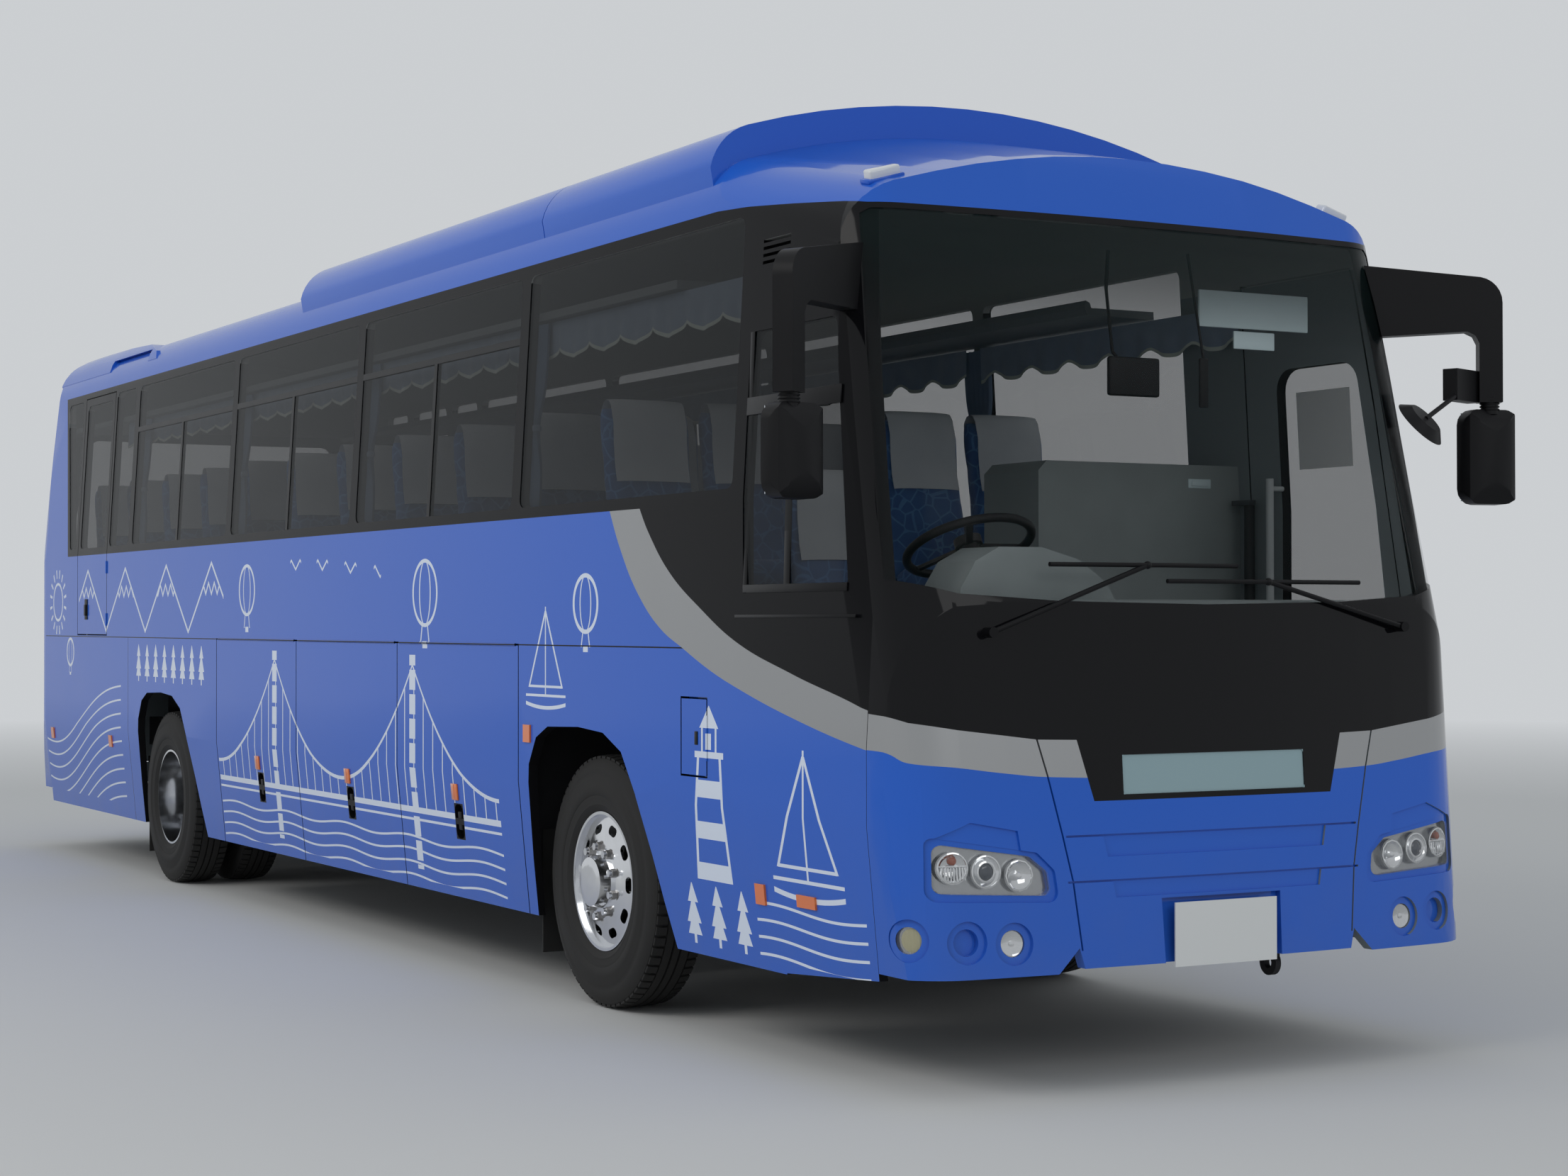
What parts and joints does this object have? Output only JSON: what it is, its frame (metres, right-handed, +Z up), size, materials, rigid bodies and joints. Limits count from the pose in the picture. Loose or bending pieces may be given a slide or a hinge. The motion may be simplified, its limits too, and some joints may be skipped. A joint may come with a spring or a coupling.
{
  "type": "airport passenger bus",
  "caption": "High-deck airport passenger bus in blue with a silver sweep, a black glass band, luggage bays and a swing door.",
  "frame": {"origin": "centre of the vehicle's box on the ground", "axes": "+X to the vehicle's left, +Y to the rear, +Z up"},
  "size_m": [3.265, 12.012, 3.6343],
  "materials": {
    "paint": "gloss",
    "black_paint": "gloss",
    "glass": "gloss",
    "clear_lens": "gloss",
    "orange_lens": "gloss",
    "red_lens": "gloss",
    "black_plastic": "matte",
    "grey_plastic": "matte",
    "cloth": "matte",
    "curtain_cloth": "matte",
    "frame_steel": "satin",
    "floor_cover": "matte",
    "engine_iron": "satin",
    "axle_iron": "satin",
    "tyre_rubber": "matte",
    "polished_wheel": "gloss"
  },
  "bodies": {
    "root": {"chassis": "frame_steel", "bay_floor": "frame_steel", "floor": "floor_cover", "cab_floor": "floor_cover", "wheel_housings": "polished_wheel", "side_wall_right": "paint", "side_wall_left": "paint", "entrance_surround": "paint", "mudflaps": "tyre_rubber", "roof": "paint", "roof_fairing": "paint", "front_panel": "black_paint", "front_bumper": "paint", "rear_wall": "paint", "windshield": "glass", "windows_right": "glass", "windows_left": "glass", "rear_window": "glass", "window_frames": "black_plastic", "front_lamps": "clear_lens", "lamp_glass": "clear_lens", "marker_lamps": "orange_lens", "rear_lamps": "red_lens", "mirrors": "black_plastic", "wipers": "black_plastic", "dashboard": "grey_plastic", "steering_wheel": "black_plastic", "driver_seat": "cloth", "seats": "cloth", "luggage_racks": "grey_plastic", "curtains": "curtain_cloth", "engine": "engine_iron", "front_axle": "axle_iron", "rear_axle": "axle_iron"},
    "knuckle_right": {"knuckle_right": "axle_iron"},
    "knuckle_left": {"knuckle_left": "axle_iron"},
    "wheel_front_right": {"wheel_front_right": "polished_wheel", "tyre_front_right": "tyre_rubber"},
    "wheel_front_left": {"wheel_front_left": "polished_wheel", "tyre_front_left": "tyre_rubber"},
    "wheels_rear_right": {"wheels_rear_right": "polished_wheel", "tyres_rear_right": "tyre_rubber"},
    "wheels_rear_left": {"wheels_rear_left": "polished_wheel", "tyres_rear_left": "tyre_rubber"},
    "luggage_door_right_1": {"luggage_door_right_1": "paint"},
    "luggage_door_right_2": {"luggage_door_right_2": "paint"},
    "luggage_door_right_3": {"luggage_door_right_3": "paint"},
    "luggage_door_left_1": {"luggage_door_left_1": "paint"},
    "luggage_door_left_2": {"luggage_door_left_2": "paint"},
    "luggage_door_left_3": {"luggage_door_left_3": "paint"},
    "engine_lid": {"engine_lid": "paint"},
    "emergency_door": {"emergency_door": "paint", "emergency_window": "glass"},
    "filler_door": {"filler_door": "paint"},
    "door_arm": {"door_arm": "frame_steel"},
    "entrance_door": {"entrance_door": "paint", "entrance_window": "glass"}
  },
  "joints": [
    {"name": "steer_right", "type": "hinge", "parent": "root", "child": "knuckle_right", "pos_m": [-0.86, -3.375, 0.52], "axis": [0, 0, 1], "range_deg": [-38, 38]},
    {"name": "steer_left", "type": "hinge", "parent": "root", "child": "knuckle_left", "pos_m": [0.86, -3.375, 0.52], "axis": [0, 0, 1], "range_deg": [-38, 38]},
    {"name": "roll_front_right", "type": "hinge", "parent": "knuckle_right", "child": "wheel_front_right", "pos_m": [-1.03, -3.375, 0.52], "axis": [1, 0, 0], "continuous": true},
    {"name": "roll_front_left", "type": "hinge", "parent": "knuckle_left", "child": "wheel_front_left", "pos_m": [1.03, -3.375, 0.52], "axis": [1, 0, 0], "continuous": true},
    {"name": "roll_rear_right", "type": "hinge", "parent": "root", "child": "wheels_rear_right", "pos_m": [-0.91, 2.705, 0.52], "axis": [1, 0, 0], "continuous": true},
    {"name": "roll_rear_left", "type": "hinge", "parent": "root", "child": "wheels_rear_left", "pos_m": [0.91, 2.705, 0.52], "axis": [1, 0, 0], "continuous": true},
    {"name": "swing_luggage_door_right_1", "type": "hinge", "parent": "root", "child": "luggage_door_right_1", "pos_m": [-1.245, -2.022, 1.487], "axis": [0, 1, 0], "range_deg": [0, 85]},
    {"name": "swing_luggage_door_right_2", "type": "hinge", "parent": "root", "child": "luggage_door_right_2", "pos_m": [-1.245, -0.555, 1.487], "axis": [0, 1, 0], "range_deg": [0, 85]},
    {"name": "swing_luggage_door_right_3", "type": "hinge", "parent": "root", "child": "luggage_door_right_3", "pos_m": [-1.245, 0.884, 1.487], "axis": [0, 1, 0], "range_deg": [0, 85]},
    {"name": "swing_luggage_door_left_1", "type": "hinge", "parent": "root", "child": "luggage_door_left_1", "pos_m": [1.245, -2.022, 1.487], "axis": [0, -1, 0], "range_deg": [0, 85]},
    {"name": "swing_luggage_door_left_2", "type": "hinge", "parent": "root", "child": "luggage_door_left_2", "pos_m": [1.245, -0.555, 1.487], "axis": [0, -1, 0], "range_deg": [0, 85]},
    {"name": "swing_luggage_door_left_3", "type": "hinge", "parent": "root", "child": "luggage_door_left_3", "pos_m": [1.245, 0.884, 1.487], "axis": [0, -1, 0], "range_deg": [0, 85]},
    {"name": "lift_engine_lid", "type": "hinge", "parent": "root", "child": "engine_lid", "pos_m": [0, 5.994, 1.5], "axis": [1, 0, 0], "range_deg": [0, 75]},
    {"name": "swing_emergency_door", "type": "hinge", "parent": "root", "child": "emergency_door", "pos_m": [-1.245, 3.972, 2.2], "axis": [0, 0, 1], "range_deg": [0, 90]},
    {"name": "swing_filler_door", "type": "hinge", "parent": "root", "child": "filler_door", "pos_m": [-1.245, -4.51, 1.1535], "axis": [0, 0, 1], "range_deg": [0, 100]},
    {"name": "swing_door_arm", "type": "hinge", "parent": "root", "child": "door_arm", "pos_m": [1.16, -4.703, 0.9], "axis": [0, 0, 1], "range_deg": [0, 150]},
    {"name": "pivot_entrance_door", "type": "hinge", "parent": "door_arm", "child": "entrance_door", "pos_m": [1.13098, -5.11799, 0.9], "axis": [0, 0, 1], "range_deg": [-150, 0]}
  ],
  "couplings": [
    {"joint": "steer_left", "follows": "steer_right", "ratio": 1},
    {"joint": "pivot_entrance_door", "follows": "swing_door_arm", "ratio": -1}
  ]
}
